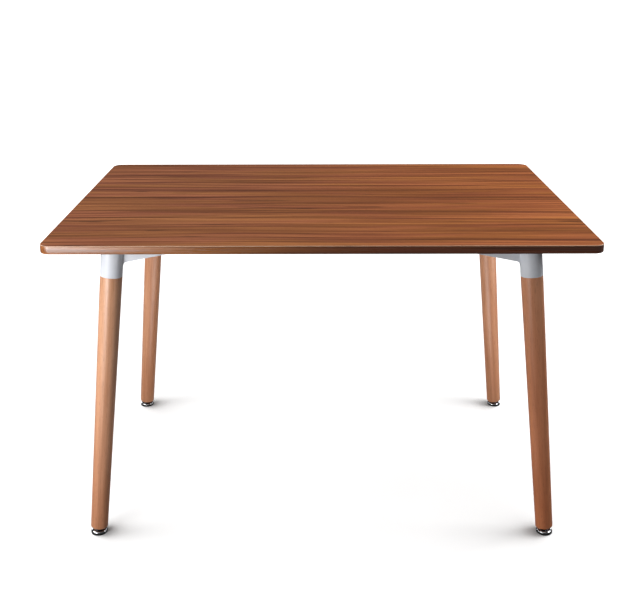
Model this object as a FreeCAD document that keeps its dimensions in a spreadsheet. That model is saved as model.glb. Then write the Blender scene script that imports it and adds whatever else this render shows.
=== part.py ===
"""Rectangular dining table: a walnut-faced top on four splayed, turned beech legs.

Each leg stands in the tilted socket of a cast bracket under the top, and on a screw-in levelling foot.
Units are millimetres. The origin is on the floor under the middle of the top, +X runs along the top's
length, +Y across it towards the back, and +Z up.
"""

import FreeCAD
import Part
import Sketcher
import math
import os

doc = FreeCAD.newDocument("dining_table")

# Driving dimensions

SIZES = [
    # the top and its layers
    ("top_length", 1200),
    ("top_width", 800),
    ("table_height", 740),
    ("top_thickness", 18),
    ("corner_radius", 25),
    ("veneer_thickness", 0.8),
    ("backing_thickness", 0.6),
    ("band_thickness", 1.5),
    ("band_ease", 1.0),
    # where the leg's axis meets the underside, and how far it runs outwards on its way to the floor
    ("leg_inset_long", 137),
    ("leg_inset_cross", 109),
    ("leg_splay_long", 71.5),
    ("leg_splay_cross", 39.8),
    # the cast bracket: its socket
    ("socket_diameter", 50),
    ("socket_length", 84),
    ("socket_bore", 43),
    ("socket_bore_depth", 54),
    ("head_pocket_diameter", 24),
    ("head_pocket_depth", 18),
    # the cast bracket: its two arms under the top
    ("arm_reach_long", 185),
    ("arm_reach_cross", 150),
    ("arm_root_depth", 57),
    ("arm_end_depth", 20),
    ("arm_web_thickness", 10),
    ("arm_root_fillet", 10),
    ("arm_flange_width", 40),
    ("arm_flange_thickness", 5),
    # the screws that hold the bracket up, and their inserts in the top
    ("screw_side_offset", 13),
    ("screw_end_distance", 14),
    ("screw_diameter", 5),
    ("screw_hole_clearance", 0.25),
    ("screw_head_diameter", 9.5),
    ("screw_head_height", 3.2),
    ("screw_bite", 12),
    ("top_insert_diameter", 8),
    ("top_insert_length", 13),
    # the turned leg
    ("leg_shoulder_diameter", 50),
    ("leg_end_diameter", 40),
    ("leg_end_ease", 1.5),
    ("spigot_clearance", 0.2),
    ("spigot_end_gap", 1),
    # the bolt that draws the leg into its socket
    ("leg_bolt_diameter", 8),
    ("leg_bolt_length", 50),
    ("leg_bolt_head_flats", 13),
    ("leg_bolt_head_height", 5.3),
    ("leg_bolt_clearance", 0.5),
    ("leg_bolt_end_room", 4),
    ("washer_diameter", 18),
    ("washer_thickness", 1.6),
    ("leg_insert_diameter", 12),
    ("leg_insert_length", 28),
    # the levelling foot
    ("foot_height", 16),
    ("pad_diameter", 38),
    ("pad_height", 5),
    ("cap_base_diameter", 36),
    ("cap_top_diameter", 20),
    ("cap_height", 4.5),
    ("ball_diameter", 8),
    ("ball_height", 5.8),
    ("ball_clearance", 0.15),
    ("neck_diameter", 5.6),
    ("neck_clearance", 0.8),
    ("collar_flats", 14),
    ("collar_height", 5),
    ("stem_diameter", 8),
    ("stem_length", 40),
    ("stem_end_room", 3),
    ("foot_insert_diameter", 12),
    ("foot_insert_length", 28),
    ("foot_insert_flange_diameter", 24),
    ("foot_insert_flange_thickness", 2),
    # between a screw and the thread that it turns in
    ("thread_clearance", 0.05),
]

sizes = doc.addObject("Spreadsheet::Sheet", "sizes")
for row, (alias, value) in enumerate(SIZES, start=1):
    sizes.set(f"A{row}", str(value))
    sizes.setAlias(f"A{row}", alias)
doc.recompute()

# Places and lengths that follow from the driving dimensions, as expressions

HALF_LENGTH = "(sizes.top_length / 2)"
HALF_WIDTH = "(sizes.top_width / 2)"
UNDERSIDE = "(sizes.table_height - sizes.top_thickness)"
CORE_LENGTH = "(sizes.top_length - 2 * sizes.band_thickness)"
CORE_WIDTH = "(sizes.top_width - 2 * sizes.band_thickness)"
CORE_RADIUS = "(sizes.corner_radius - sizes.band_thickness)"
CORE_BASE = f"({UNDERSIDE} + sizes.backing_thickness)"
CORE_THICKNESS = "(sizes.top_thickness - sizes.veneer_thickness - sizes.backing_thickness)"
LEAN_RUN = "sqrt(sizes.leg_splay_long ^ 2 + sizes.leg_splay_cross ^ 2)"
AXIS_LENGTH = f"sqrt({UNDERSIDE} ^ 2 + sizes.leg_splay_long ^ 2 + sizes.leg_splay_cross ^ 2)"
LEAN_ANGLE = f"atan({LEAN_RUN} / {UNDERSIDE})"
# distances down the leg's axis from the underside of the top
BORE_END = "(sizes.socket_length - sizes.socket_bore_depth)"
SPIGOT_END = f"({BORE_END} + sizes.spigot_end_gap)"
BOLT_SEAT = "(sizes.head_pocket_depth - sizes.washer_thickness)"
BOLT_TIP = f"({BOLT_SEAT} + sizes.leg_bolt_length)"
LEG_END = f"({AXIS_LENGTH} * (1 - sizes.foot_height / {UNDERSIDE}))"
BALL_CENTRE = f"({AXIS_LENGTH} * (1 - sizes.ball_height / {UNDERSIDE}))"
COLLAR_END = f"({LEG_END} + sizes.collar_height)"
# a cylinder that trims or bores goes past the face that it opens on by this share of its own size
SOCKET_OVERSHOOT = "(sizes.socket_diameter / 4)"

# an edge that rises less than this is level
LEVEL_LIMIT = 1e-6

CORNERS = {"front_left": (-1, -1), "front_right": (1, -1), "back_left": (-1, 1), "back_right": (1, 1)}


def vector(x, y, z):
    """Expression of a vector from three expressions."""
    return f"create(<<vector>>; {x}; {y}; {z})"


def placement(x, y, z, axis=("0", "0", "1"), angle="0"):
    """Expression of a placement: a point, and a turn about an axis."""
    return f"create(<<placement>>; {vector(x, y, z)}; create(<<rotation>>; {vector(*axis)}; {angle}))"


def bracket_root(corner):
    """Expressions of x and y where the leg's axis meets the underside of the top."""
    side_x, side_y = CORNERS[corner]
    x = f"{side_x} * ({HALF_LENGTH} - sizes.leg_inset_long)"
    y = f"{side_y} * ({HALF_WIDTH} - sizes.leg_inset_cross)"
    return x, y


def axis_point(corner, distance):
    """Expressions of x and y of a point at a distance down the leg's axis from the underside."""
    side_x, side_y = CORNERS[corner]
    root_x, root_y = bracket_root(corner)
    share = f"{distance} / {AXIS_LENGTH}"
    x = f"{root_x} + {side_x} * sizes.leg_splay_long * {share}"
    y = f"{root_y} + {side_y} * sizes.leg_splay_cross * {share}"
    return x, y


def along_axis(corner, distance):
    """Placement at a distance down the leg's axis from the underside, with local +Z up the axis."""
    side_x, side_y = CORNERS[corner]
    x, y = axis_point(corner, distance)
    z = f"{UNDERSIDE} * (1 - {distance} / {AXIS_LENGTH})"
    lean_axis = (f"{side_y} * sizes.leg_splay_cross", f"{-side_x} * sizes.leg_splay_long", "0")
    return placement(x, y, z, lean_axis, LEAN_ANGLE)


def upright_at(corner, distance, height):
    """Upright placement at a height, over the point of the leg's axis at a distance down it."""
    return placement(*axis_point(corner, distance), height)


def made(kind, name, where, **bound):
    """A Part object of that kind, placed and sized by expressions."""
    thing = doc.addObject(kind, name)
    for size, expression in bound.items():
        thing.setExpression(size, expression)
    thing.setExpression("Placement", where)
    return thing


def cylinder(name, diameter, height, where):
    """A round bar that rises from where it is placed."""
    return made("Part::Cylinder", name, where, Radius=f"({diameter}) / 2", Height=height)


def hexagon(name, flats, height, where):
    """A hexagonal bar of that size across its flats."""
    bar = made("Part::Prism", name, where, Circumradius=f"({flats}) / 2 / cos(30 deg)", Height=height)
    bar.Polygon = 6
    return bar


def joined(name, *things):
    """One solid from several that overlap or share a face."""
    union = doc.addObject("Part::MultiFuse", name)
    union.Shapes = list(things)
    return union


def cut(name, base, *tools):
    """The base with the tools' shapes taken out of it."""
    result = doc.addObject("Part::Cut", name)
    result.Base = base
    result.Tool = tools[0] if len(tools) == 1 else joined(name + "_tools", *tools)
    return result


def group(name, things):
    """Several separate solids that share one node."""
    together = doc.addObject("Part::Compound", name)
    together.Links = list(things)
    return together


# The sub-parts, by the name of the node that each one becomes
nodes = {}


def node(name, thing):
    """Names a finished sub-part."""
    thing.Label = name
    nodes[name] = thing
    return thing


# The top: a core board with a walnut veneer above, a backing sheet below and a walnut band round its edge


def edge_names(board, level):
    """Names of a board's level edges, or of its upright ones."""
    edges = enumerate(board.Shape.Edges, 1)
    return [f"Edge{i}" for i, edge in edges if (edge.BoundBox.ZLength < LEVEL_LIMIT) == level]


def rounded_panel(name, length, width, thickness, radius, base, ease=None):
    """A flat board with rounded corners, padded from a centred rectangle, with its edges eased if asked."""
    body = doc.addObject("PartDesign::Body", name)
    plane = next(f for f in body.Origin.OriginFeatures if f.Role == "XY_Plane")
    outline = body.newObject("Sketcher::SketchObject", name + "_outline")
    outline.AttachmentSupport = [(plane, "")]
    outline.MapMode = "FlatFace"
    corner = [FreeCAD.Vector(x, y, 0) for x, y in ((-1, -1), (1, -1), (1, 1), (-1, 1))]
    sides = len(corner)
    for i in range(sides):
        outline.addGeometry(Part.LineSegment(corner[i], corner[(i + 1) % sides]))
    for i in range(sides):
        outline.addConstraint(Sketcher.Constraint("Coincident", i, 2, (i + 1) % sides, 1))
        outline.addConstraint(Sketcher.Constraint("Vertical" if i % 2 else "Horizontal", i))
    outline.addConstraint(Sketcher.Constraint("Symmetric", 0, 1, 2, 1, -1, 1))
    across = outline.addConstraint(Sketcher.Constraint("DistanceX", 0, 1, 0, 2, 2))
    deep = outline.addConstraint(Sketcher.Constraint("DistanceY", 1, 1, 1, 2, 2))
    outline.setExpression(f"Constraints[{across}]", length)
    outline.setExpression(f"Constraints[{deep}]", width)
    board = body.newObject("PartDesign::Pad", name + "_board")
    board.Profile = outline
    board.setExpression("Length", thickness)
    doc.recompute()
    rounded = body.newObject("PartDesign::Fillet", name + "_corners")
    rounded.Base = (board, edge_names(board, level=False))
    rounded.setExpression("Radius", radius)
    doc.recompute()
    if ease:
        eased = body.newObject("PartDesign::Fillet", name + "_eased")
        eased.Base = (rounded, edge_names(rounded, level=True))
        eased.setExpression("Radius", ease)
    body.setExpression("Placement", placement("0", "0", base))
    return body


def arm_direction(corner, arm):
    """Inward unit direction of a bracket's arm, and the unit direction across it."""
    side_x, side_y = CORNERS[corner]
    return ((-side_x, 0), (0, 1)) if arm == "long" else ((0, -side_y), (1, 0))


def screw_places(corner):
    """Expressions of x and y for the screws of one bracket: a pair near the end of each arm."""
    root_x, root_y = bracket_root(corner)
    places = []
    for arm in ("long", "cross"):
        (in_x, in_y), (side_ways_x, side_ways_y) = arm_direction(corner, arm)
        inward = f"(sizes.arm_reach_{arm} - sizes.screw_end_distance)"
        for hand in (-1, 1):
            x = f"{root_x} + {in_x} * {inward} + {hand * side_ways_x} * sizes.screw_side_offset"
            y = f"{root_y} + {in_y} * {inward} + {hand * side_ways_y} * sizes.screw_side_offset"
            places.append((x, y))
    return places


def insert_holes(name):
    """Holes for every bracket's inserts, up into the top from its underside."""
    holes = []
    for corner in CORNERS:
        for i, (x, y) in enumerate(screw_places(corner), 1):
            hole = cylinder(
                f"{name}_{corner}_{i}", "sizes.top_insert_diameter", "sizes.top_insert_length",
                placement(x, y, UNDERSIDE),
            )
            holes.append(hole)
    return holes


def build_top():
    """The four layers of the top."""
    core = rounded_panel("core_board", CORE_LENGTH, CORE_WIDTH, CORE_THICKNESS, CORE_RADIUS, CORE_BASE)
    node("top_core", cut("core_bored", core, *insert_holes("core_hole")))
    backing = rounded_panel(
        "backing_sheet", CORE_LENGTH, CORE_WIDTH, "sizes.backing_thickness", CORE_RADIUS, UNDERSIDE
    )
    node("top_backing", cut("backing_bored", backing, *insert_holes("backing_hole")))
    veneer_base = "sizes.table_height - sizes.veneer_thickness"
    veneer = rounded_panel(
        "veneer_sheet", CORE_LENGTH, CORE_WIDTH, "sizes.veneer_thickness", CORE_RADIUS, veneer_base
    )
    node("top_veneer", veneer)
    outside = rounded_panel(
        "band_outside", "sizes.top_length", "sizes.top_width", "sizes.top_thickness", "sizes.corner_radius",
        UNDERSIDE, ease="sizes.band_ease",
    )
    inside = rounded_panel(
        "band_inside", CORE_LENGTH, CORE_WIDTH, "sizes.top_thickness", CORE_RADIUS, UNDERSIDE
    )
    node("edge_band", cut("band_ring", outside, inside))


# The cast bracket under each corner


def bracket_arm(corner, arm):
    """One arm: a flange flat against the top, and an upright web that grows deeper towards the socket."""
    (in_x, in_y), _ = arm_direction(corner, arm)
    turn = f"{math.degrees(math.atan2(in_y, in_x)) - 90} deg"
    where = placement(*bracket_root(corner), UNDERSIDE, angle=turn)
    half_web = "sizes.arm_web_thickness / 2"
    reach = f"sizes.arm_reach_{arm}"
    web = made(
        "Part::Wedge", f"web_{arm}_{corner}", where,
        Xmin=f"-{half_web}", Xmax=half_web, X2min=f"-{half_web}", X2max=half_web,
        Ymin="0", Ymax=reach,
        Zmin="-sizes.arm_root_depth", Zmax="0", Z2min="-sizes.arm_end_depth", Z2max="0",
    )
    fillet = root_fillet(corner, arm, where)
    half_flange = "sizes.arm_flange_width / 2"
    flange = made(
        "Part::Wedge", f"flange_{arm}_{corner}", where,
        Xmin=f"-{half_flange}", Xmax=half_flange, X2min=f"-{half_flange}", X2max=half_flange,
        Ymin="0", Ymax=reach,
        Zmin="-sizes.arm_flange_thickness", Zmax="0", Z2min="-sizes.arm_flange_thickness", Z2max="0",
    )
    return web, fillet, flange


def root_fillet(corner, arm, where):
    """The hollow curve where an arm's web runs down into the socket, touching both."""
    reach = f"sizes.arm_reach_{arm}"
    radius = "sizes.arm_root_fillet"
    web_slope = f"((sizes.arm_root_depth - sizes.arm_end_depth) / {reach})"
    socket_slope = f"(sizes.leg_splay_{arm} / {UNDERSIDE})"
    web_slant = f"sqrt(1 + {web_slope} ^ 2)"
    socket_slant = f"sqrt(1 + {socket_slope} ^ 2)"
    socket_face = f"(sizes.socket_diameter / 2 * {socket_slant})"
    # the centre of the curve, below the underside of the top and along the arm
    reach_of_curve = f"({socket_face} + {radius} * {socket_slant})"
    drop_of_curve = f"({radius} * {web_slant} + sizes.arm_root_depth - {web_slope} * {reach_of_curve})"
    depth = f"({drop_of_curve} / (1 - {web_slope} * {socket_slope}))"
    along = f"({reach_of_curve} - {socket_slope} * {depth})"
    half_web = "sizes.arm_web_thickness / 2"
    block = made(
        "Part::Wedge", f"fillet_block_{arm}_{corner}", where,
        Xmin=f"-{half_web}", Xmax=half_web, X2min=f"-{half_web}", X2max=half_web,
        Ymin="0", Ymax=along, Zmin=f"-{depth}", Zmax="0", Z2min=f"-{depth}", Z2max="0",
    )
    (in_x, in_y), _ = arm_direction(corner, arm)
    root_x, root_y = bracket_root(corner)
    x = f"{root_x} + {in_x} * {along} - {abs(in_y)} * sizes.arm_web_thickness"
    y = f"{root_y} + {in_y} * {along} - {abs(in_x)} * sizes.arm_web_thickness"
    across = ("0", "1", "0") if in_y else ("-1", "0", "0")
    hollow = cylinder(
        f"fillet_hollow_{arm}_{corner}", f"2 * {radius}", "2 * sizes.arm_web_thickness",
        placement(x, y, f"{UNDERSIDE} - {depth}", across, "90 deg"),
    )
    return cut(f"fillet_{arm}_{corner}", block, hollow)


def build_bracket(corner):
    """The bracket: two arms and a tilted socket, bored for the leg's spigot, its bolt and the screws."""
    socket_mouth = along_axis(corner, "sizes.socket_length")
    barrel = cylinder(
        f"socket_{corner}", "sizes.socket_diameter", f"sizes.socket_length + {SOCKET_OVERSHOOT}",
        socket_mouth,
    )
    arms = bracket_arm(corner, "long") + bracket_arm(corner, "cross")
    casting = joined(f"casting_{corner}", barrel, *arms)
    bore = cylinder(f"spigot_bore_{corner}", "sizes.socket_bore", "sizes.socket_bore_depth", socket_mouth)
    bolt_hole = cylinder(
        f"bolt_hole_{corner}", "sizes.leg_bolt_diameter + 2 * sizes.leg_bolt_clearance", BORE_END,
        along_axis(corner, BORE_END),
    )
    pocket = cylinder(
        f"head_pocket_{corner}", "sizes.head_pocket_diameter",
        f"sizes.head_pocket_depth + {SOCKET_OVERSHOOT}", along_axis(corner, "sizes.head_pocket_depth"),
    )
    above = cylinder(
        f"above_top_plane_{corner}", "2 * sizes.socket_diameter", "sizes.socket_diameter",
        upright_at(corner, "0", UNDERSIDE),
    )
    screw_holes = [
        cylinder(
            f"screw_hole_{corner}_{i}", "sizes.screw_diameter + 2 * sizes.screw_hole_clearance",
            "sizes.arm_flange_thickness", placement(x, y, f"{UNDERSIDE} - sizes.arm_flange_thickness"),
        )
        for i, (x, y) in enumerate(screw_places(corner), 1)
    ]
    openings = [bore, bolt_hole, pocket, above, *screw_holes]
    node(f"bracket_{corner}", cut(f"bracket_cast_{corner}", casting, *openings))


def build_bracket_screws(corner):
    """The pan-head screws of one bracket, and their threaded inserts in the top."""
    screws, inserts = [], []
    for i, (x, y) in enumerate(screw_places(corner), 1):
        under_flange = f"{UNDERSIDE} - sizes.arm_flange_thickness"
        head = cylinder(
            f"screw_head_{corner}_{i}", "sizes.screw_head_diameter", "sizes.screw_head_height",
            placement(x, y, f"{under_flange} - sizes.screw_head_height"),
        )
        shank = cylinder(
            f"screw_shank_{corner}_{i}", "sizes.screw_diameter",
            "sizes.arm_flange_thickness + sizes.screw_bite", placement(x, y, under_flange),
        )
        screws.append(joined(f"screw_{corner}_{i}", head, shank))
        where = placement(x, y, UNDERSIDE)
        sleeve = cylinder(
            f"top_sleeve_{corner}_{i}", "sizes.top_insert_diameter", "sizes.top_insert_length", where
        )
        thread = cylinder(
            f"top_thread_{corner}_{i}", "sizes.screw_diameter + 2 * sizes.thread_clearance",
            "sizes.top_insert_length", where,
        )
        inserts.append(cut(f"top_insert_{corner}_{i}", sleeve, thread))
    node(f"bracket_screws_{corner}", group(f"screw_set_{corner}", screws))
    node(f"top_inserts_{corner}", group(f"top_insert_set_{corner}", inserts))


# The turned leg and the bolt that holds it


def build_leg(corner):
    """The leg: a spigot for the socket, a taper below it, and bores for the inserts at its two ends."""
    spigot = cylinder(
        f"spigot_{corner}", "sizes.socket_bore - 2 * sizes.spigot_clearance",
        f"sizes.socket_length - {SPIGOT_END}", along_axis(corner, "sizes.socket_length"),
    )
    taper_end = f"({LEG_END} - sizes.leg_end_ease)"
    taper = made(
        "Part::Cone", f"taper_{corner}", along_axis(corner, taper_end),
        Radius1="sizes.leg_end_diameter / 2", Radius2="sizes.leg_shoulder_diameter / 2",
        Height=f"{taper_end} - sizes.socket_length",
    )
    eased_end = made(
        "Part::Cone", f"eased_end_{corner}", along_axis(corner, LEG_END),
        Radius1="sizes.leg_end_diameter / 2 - sizes.leg_end_ease", Radius2="sizes.leg_end_diameter / 2",
        Height="sizes.leg_end_ease",
    )
    turned = joined(f"turned_{corner}", spigot, taper, eased_end)
    top_bore = cylinder(
        f"leg_top_bore_{corner}", "sizes.leg_insert_diameter", "sizes.leg_insert_length",
        along_axis(corner, f"({SPIGOT_END} + sizes.leg_insert_length)"),
    )
    bolt_room_end = f"({BOLT_TIP} + sizes.leg_bolt_end_room)"
    bolt_room = cylinder(
        f"leg_bolt_room_{corner}", "sizes.leg_bolt_diameter + 2 * sizes.leg_bolt_clearance",
        f"{bolt_room_end} - {SPIGOT_END}", along_axis(corner, bolt_room_end),
    )
    stem_room = cylinder(
        f"stem_room_{corner}", "sizes.foot_insert_diameter", "sizes.stem_length + sizes.stem_end_room",
        along_axis(corner, LEG_END),
    )
    flange_seat = cylinder(
        f"flange_seat_{corner}", "sizes.foot_insert_flange_diameter", "sizes.foot_insert_flange_thickness",
        along_axis(corner, LEG_END),
    )
    node(f"leg_{corner}", cut(f"leg_bored_{corner}", turned, top_bore, bolt_room, stem_room, flange_seat))


def build_leg_bolt(corner):
    """The hexagon bolt, its washer in the socket's pocket, and the threaded insert in the leg's spigot."""
    head = hexagon(
        f"bolt_head_{corner}", "sizes.leg_bolt_head_flats", "sizes.leg_bolt_head_height",
        along_axis(corner, BOLT_SEAT),
    )
    shank = cylinder(
        f"bolt_shank_{corner}", "sizes.leg_bolt_diameter", "sizes.leg_bolt_length",
        along_axis(corner, BOLT_TIP),
    )
    node(f"leg_bolt_{corner}", joined(f"bolt_{corner}", head, shank))
    seat = along_axis(corner, "sizes.head_pocket_depth")
    disc = cylinder(f"washer_disc_{corner}", "sizes.washer_diameter", "sizes.washer_thickness", seat)
    eye = cylinder(
        f"washer_eye_{corner}", "sizes.leg_bolt_diameter + 2 * sizes.leg_bolt_clearance",
        "sizes.washer_thickness", seat,
    )
    node(f"leg_washer_{corner}", cut(f"washer_{corner}", disc, eye))
    lower_end = along_axis(corner, f"({SPIGOT_END} + sizes.leg_insert_length)")
    sleeve = cylinder(
        f"leg_sleeve_{corner}", "sizes.leg_insert_diameter", "sizes.leg_insert_length", lower_end
    )
    thread = cylinder(
        f"leg_thread_{corner}", "sizes.leg_bolt_diameter + 2 * sizes.thread_clearance",
        "sizes.leg_insert_length", lower_end,
    )
    node(f"leg_insert_{corner}", cut(f"leg_insert_tube_{corner}", sleeve, thread))


# The levelling foot: its insert in the leg, the screw with its ball end, and the base on the ball


def build_foot(corner):
    """A flanged insert, a stem with a hexagon collar and a ball, a domed cap and a pad."""
    leg_end = along_axis(corner, LEG_END)
    flange = cylinder(
        f"insert_flange_{corner}", "sizes.foot_insert_flange_diameter",
        "sizes.foot_insert_flange_thickness", leg_end,
    )
    sleeve = cylinder(
        f"foot_sleeve_{corner}", "sizes.foot_insert_diameter", "sizes.foot_insert_length", leg_end
    )
    thread = cylinder(
        f"foot_thread_{corner}", "sizes.stem_diameter + 2 * sizes.thread_clearance",
        "sizes.foot_insert_length", leg_end,
    )
    flanged = joined(f"flanged_{corner}", flange, sleeve)
    node(f"foot_insert_{corner}", cut(f"foot_nut_{corner}", flanged, thread))

    ball_seat = along_axis(corner, BALL_CENTRE)
    screw = cylinder(f"stem_screw_{corner}", "sizes.stem_diameter", "sizes.stem_length", leg_end)
    collar = hexagon(
        f"collar_{corner}", "sizes.collar_flats", "sizes.collar_height", along_axis(corner, COLLAR_END)
    )
    neck = cylinder(f"neck_{corner}", "sizes.neck_diameter", f"{BALL_CENTRE} - {COLLAR_END}", ball_seat)
    ball = made("Part::Sphere", f"ball_{corner}", ball_seat, Radius="sizes.ball_diameter / 2")
    node(f"foot_stem_{corner}", joined(f"stem_{corner}", screw, collar, neck, ball))

    cavity = made(
        "Part::Sphere", f"ball_cavity_{corner}", upright_at(corner, BALL_CENTRE, "sizes.ball_height"),
        Radius="sizes.ball_diameter / 2 + sizes.ball_clearance",
    )
    dome = made(
        "Part::Cone", f"dome_{corner}", upright_at(corner, BALL_CENTRE, "sizes.pad_height"),
        Radius1="sizes.cap_base_diameter / 2", Radius2="sizes.cap_top_diameter / 2",
        Height="sizes.cap_height",
    )
    neck_hole = cylinder(
        f"neck_hole_{corner}", "sizes.neck_diameter + 2 * sizes.neck_clearance",
        "sizes.pad_height + sizes.cap_height - sizes.ball_height",
        upright_at(corner, BALL_CENTRE, "sizes.ball_height"),
    )
    node(f"foot_cap_{corner}", cut(f"cap_{corner}", dome, cavity, neck_hole))
    disc = cylinder(
        f"pad_disc_{corner}", "sizes.pad_diameter", "sizes.pad_height", upright_at(corner, BALL_CENTRE, "0")
    )
    node(f"foot_pad_{corner}", cut(f"pad_{corner}", disc, cavity))


def check_and_export():
    """Stops on a failed object or a bad shape, then writes one STEP file for each node."""
    doc.recompute()
    failed = [o.Name for o in doc.Objects if {"Invalid", "Error"} & set(o.State)]
    if failed:
        raise RuntimeError(f"these objects failed: {failed}")
    for name, thing in nodes.items():
        if thing.Shape.isNull() or not thing.Shape.isValid() or not thing.Shape.Solids:
            raise RuntimeError(f"{name} has no valid solid")
    os.makedirs("parts", exist_ok=True)
    for name, thing in nodes.items():
        thing.Shape.exportStep(f"parts/{name}.step")
        print(f"{name}: {len(thing.Shape.Solids)} solid(s), {thing.Shape.Volume / 1000:.2f} cm3")


build_top()
for each_corner in CORNERS:
    build_bracket(each_corner)
    build_bracket_screws(each_corner)
    build_leg(each_corner)
    build_leg_bolt(each_corner)
    build_foot(each_corner)
check_and_export()
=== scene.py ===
"""Looks of a dining table with a walnut top, splayed beech legs, cast brackets and levelling feet.

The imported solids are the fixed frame. Pieces that show are modelled again on it with softer edges and
rounder turnings, each one riding on the body of the solid that it stands for. Lengths are in metres.
"""

import logging
import math
from collections.abc import Callable, Iterator, Sequence
from contextlib import contextmanager
from dataclasses import dataclass
from enum import Enum
from typing import Any, ClassVar

import bpy
from mathutils import Matrix, Vector


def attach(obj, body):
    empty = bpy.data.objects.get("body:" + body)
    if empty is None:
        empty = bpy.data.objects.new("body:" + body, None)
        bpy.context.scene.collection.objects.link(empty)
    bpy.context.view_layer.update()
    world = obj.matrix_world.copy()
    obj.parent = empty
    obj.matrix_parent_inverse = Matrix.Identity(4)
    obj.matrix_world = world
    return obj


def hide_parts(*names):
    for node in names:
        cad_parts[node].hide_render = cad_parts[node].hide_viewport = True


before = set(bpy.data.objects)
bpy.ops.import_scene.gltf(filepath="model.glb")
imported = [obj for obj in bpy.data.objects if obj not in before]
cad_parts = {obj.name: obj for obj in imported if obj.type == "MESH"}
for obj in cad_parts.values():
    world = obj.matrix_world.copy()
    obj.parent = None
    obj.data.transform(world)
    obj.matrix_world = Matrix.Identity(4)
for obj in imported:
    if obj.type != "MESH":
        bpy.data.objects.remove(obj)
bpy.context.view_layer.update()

LOG = logging.getLogger("dining_table")
MM = 0.001

Colour = tuple[float, float, float, float]
Place = tuple[float, float, float]
Span = tuple[float, float]
Profile = list[tuple[float, float]]
EdgeTest = Callable[[Vector, Vector, int], bool]


class Corner(Enum):
    """The four corners, with the side of the middle that each one is on along X and along Y."""

    FRONT_LEFT = ("front_left", -1, -1)
    FRONT_RIGHT = ("front_right", 1, -1)
    BACK_LEFT = ("back_left", -1, 1)
    BACK_RIGHT = ("back_right", 1, 1)

    @property
    def word(self) -> str:
        """The corner's word in the names of its nodes and bodies."""
        return self.value[0]

    @property
    def side(self) -> tuple[int, int]:
        """The signs of the corner's x and y."""
        return self.value[1], self.value[2]

    @property
    def number(self) -> int:
        """The corner's place in the list, for turning one pattern into four."""
        return list(Corner).index(self)


class GrainRun(Enum):
    """Which way a wood's grain runs on a piece."""

    ALONG_TOP = "along the length of the top"
    ROUND_EDGE = "round the edge of the top"


class Crease(Enum):
    """The sharpest turn, in degrees, that is still shaded smooth on each kind of piece."""

    BAND = 40
    SOFTENED_COPY = 36
    LEG = 32
    SCREW = 35
    FOOT = 38


def srgb(red: int, green: int, blue: int) -> Colour:
    """A display colour as the linear colour that shaders take.

    Args:
        red, green, blue: display values from 0 to 255.

    Returns:
        The linear colour with full alpha.
    """
    def linear(value: float) -> float:
        """One channel, from display to linear."""
        return value / 12.92 if value <= 0.04045 else ((value + 0.055) / 1.055) ** 2.4

    return (linear(red / 255), linear(green / 255), linear(blue / 255), 1.0)


# Shader expressions


class Value:
    """A shader socket that takes part in arithmetic: each operator adds a Math node."""

    def __init__(self, tree: "MaterialTree", socket: bpy.types.NodeSocket) -> None:
        """Keeps the tree that the nodes go in and the socket that the value comes from."""
        self.tree = tree
        self.socket = socket

    def __add__(self, other: "Value | float") -> "Value":
        """This value plus another."""
        return self.tree.math("ADD", self, other)

    __radd__ = __add__

    def __sub__(self, other: "Value | float") -> "Value":
        """This value less another."""
        return self.tree.math("SUBTRACT", self, other)

    def __rsub__(self, other: "Value | float") -> "Value":
        """A number less this value."""
        return self.tree.math("SUBTRACT", other, self)

    def __mul__(self, other: "Value | float") -> "Value":
        """This value times another."""
        return self.tree.math("MULTIPLY", self, other)

    __rmul__ = __mul__

    def __abs__(self) -> "Value":
        """This value without its sign."""
        return self.tree.math("ABSOLUTE", self, 0.0)

    def eased(self, low: float, high: float) -> "Value":
        """This value as 0 below low and 1 above high, with a smooth step between.

        Args:
            low: where the step starts.
            high: where the step ends.

        Returns:
            The step.
        """
        step = self.tree.node(
            "ShaderNodeMapRange",
            {"interpolation_type": "SMOOTHSTEP"},
            {"Value": self, "From Min": low, "From Max": high},
        )
        return Value(self.tree, step.outputs[0])


# What a socket can be given
Given = Value | bpy.types.NodeSocket | Colour | float


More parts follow.
